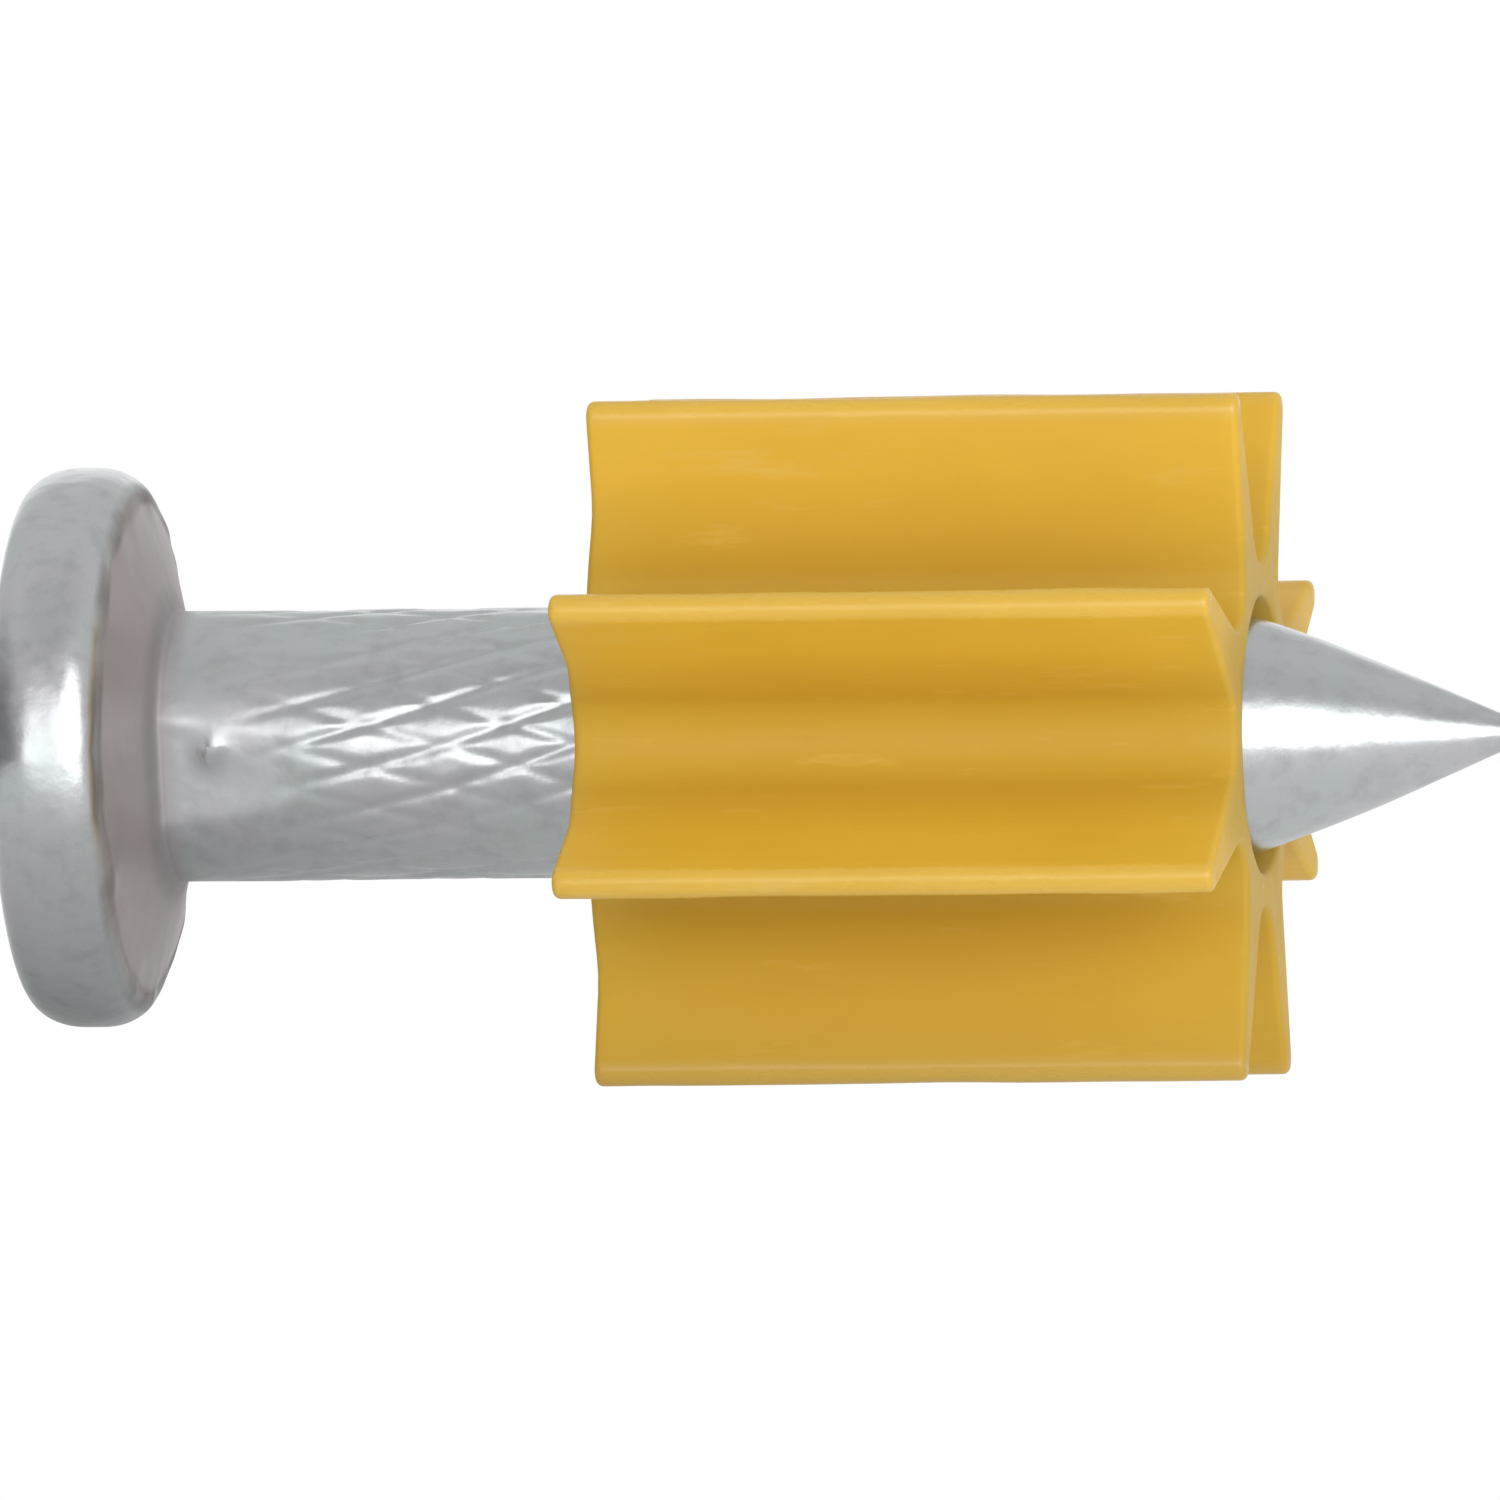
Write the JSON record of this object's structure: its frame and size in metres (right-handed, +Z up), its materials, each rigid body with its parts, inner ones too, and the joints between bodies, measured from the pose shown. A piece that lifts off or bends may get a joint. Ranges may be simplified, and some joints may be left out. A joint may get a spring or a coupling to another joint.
{
  "type": "powder-actuated drive pin",
  "caption": "Headed steel drive pin with a knurled shank and a long point, held in a ridged plastic guide flute that slides along the shank; for a powder-actuated fastening tool.",
  "frame": {"origin": "centre of the head's struck face", "axes": "+X along the shank from the head to the point, +Z up as the fastener lies on two ridges of its flute"},
  "size_m": [0.0206, 0.0092, 0.0092],
  "materials": {
    "zinc_steel": "satin",
    "yellow_plastic": "satin"
  },
  "bodies": {
    "pin": {"drive_pin": "zinc_steel"},
    "flute": {"guide_flute": "yellow_plastic"}
  },
  "joints": [
    {"name": "flute_slide", "type": "slide", "parent": "pin", "child": "flute", "axis": [1, 0, 0], "range_m": [-0.00575, 0.0037]}
  ]
}
